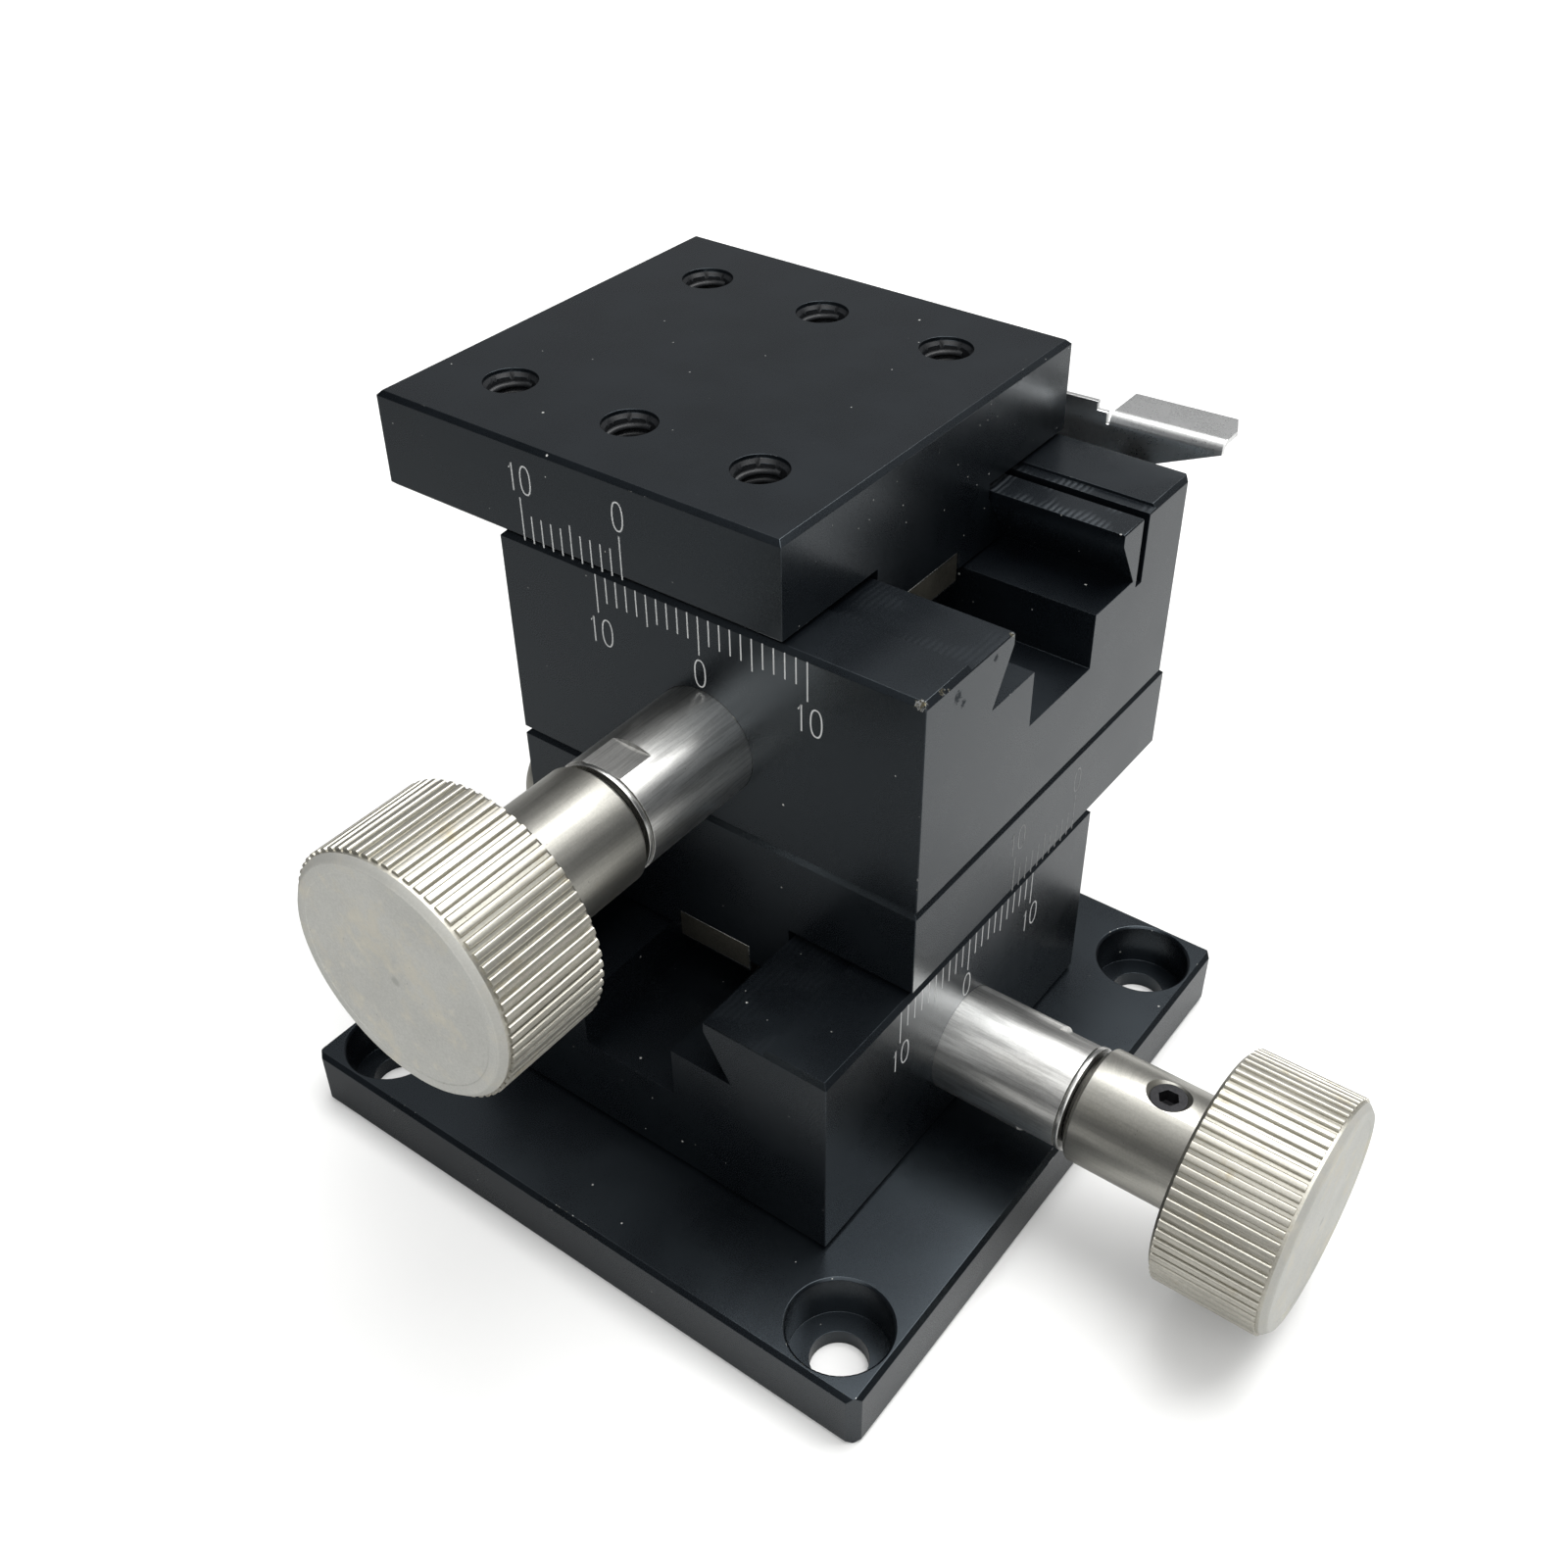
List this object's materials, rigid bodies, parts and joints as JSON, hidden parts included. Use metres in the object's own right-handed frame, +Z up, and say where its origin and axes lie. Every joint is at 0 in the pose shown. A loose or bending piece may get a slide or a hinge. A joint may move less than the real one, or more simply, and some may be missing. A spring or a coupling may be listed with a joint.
{
  "type": "two-axis dovetail linear stage",
  "caption": "Two small dovetail slides stacked crosswise on a square base plate, each driven through a rack and pinion by a knurled knob and held by a clamp lever",
  "frame": {"origin": "The middle of the base plate's underside, on the surface that the stage stands on.", "axes": "+Z is up, square to the table. +X is the travel of the upper slide and the axis of the lower knob, whose head is on the +X side. +Y is the travel of the lower slide; the upper knob's axis is parallel to Y and its head is on the -Y side."},
  "size_m": [0.0845, 0.0795, 0.062],
  "materials": {
    "black_anodised": "bead-blasted, black anodised, satin",
    "knob_nickel": "turned and nickel plated, satin",
    "sleeve_steel": "turned, fine streaks, half gloss",
    "turned_steel": "machined",
    "polished_steel": "polished sheet",
    "screw_black": "black oxide, slightly oiled",
    "brass": "machined"
  },
  "bodies": {
    "base": {"base_plate": "black_anodised", "base_screws": "screw_black", "lower_body": "black_anodised", "lower_sleeve": "sleeve_steel", "lower_bush": "brass", "lower_gib_screws": "screw_black", "lower_clamp_pad": "brass", "lower_stop_pin": "turned_steel"},
    "lower_knob_set": {"lower_pinion_shaft": "turned_steel", "lower_knob": "knob_nickel", "lower_knob_screw": "screw_black", "lower_washers": "turned_steel"},
    "lower_clamp": {"lower_clamp_lever": "polished_steel", "lower_clamp_screw": "knob_nickel", "lower_clamp_spacer": "turned_steel"},
    "carriage": {"lower_table": "black_anodised", "lower_rack": "turned_steel", "lower_rack_screws": "screw_black", "joining_screws": "screw_black", "upper_body": "black_anodised", "upper_sleeve": "sleeve_steel", "upper_bush": "brass", "upper_gib_screws": "screw_black", "upper_clamp_pad": "brass", "upper_stop_pin": "turned_steel"},
    "upper_knob_set": {"upper_pinion_shaft": "turned_steel", "upper_knob": "knob_nickel", "upper_knob_screw": "screw_black", "upper_washers": "turned_steel"},
    "upper_clamp": {"upper_clamp_lever": "polished_steel", "upper_clamp_screw": "knob_nickel", "upper_clamp_spacer": "turned_steel"},
    "table": {"top_table": "black_anodised", "upper_rack": "turned_steel", "upper_rack_screws": "screw_black"}
  },
  "joints": [
    {"name": "lower_slide", "type": "slide", "parent": "base", "child": "carriage", "axis": [0, 1, 0], "range_m": [-0.0265, 0.0035]},
    {"name": "upper_slide", "type": "slide", "parent": "carriage", "child": "table", "axis": [1, 0, 0], "range_m": [-0.0028, 0.0272]},
    {"name": "lower_knob_turn", "type": "hinge", "parent": "base", "child": "lower_knob_set", "pos_m": [0.048, 0, 0.01369], "axis": [1, 0, 0], "range_deg": [-51, 380.5]},
    {"name": "upper_knob_turn", "type": "hinge", "parent": "carriage", "child": "upper_knob_set", "pos_m": [0, -0.0365, 0.04168], "axis": [0, 1, 0], "range_deg": [-41, 390.5]},
    {"name": "lower_clamp_turn", "type": "hinge", "parent": "base", "child": "lower_clamp", "pos_m": [-0.0226, 0, 0.02249], "axis": [-1, 0, 0], "range_deg": [-25, 40]},
    {"name": "upper_clamp_turn", "type": "hinge", "parent": "carriage", "child": "upper_clamp", "pos_m": [0, 0.0341, 0.05048], "axis": [0, 1, 0], "range_deg": [-25, 40]}
  ],
  "couplings": [
    {"joint": "lower_knob_turn", "follows": "lower_slide", "rad_per_m": -250},
    {"joint": "upper_knob_turn", "follows": "upper_slide", "rad_per_m": 250}
  ]
}
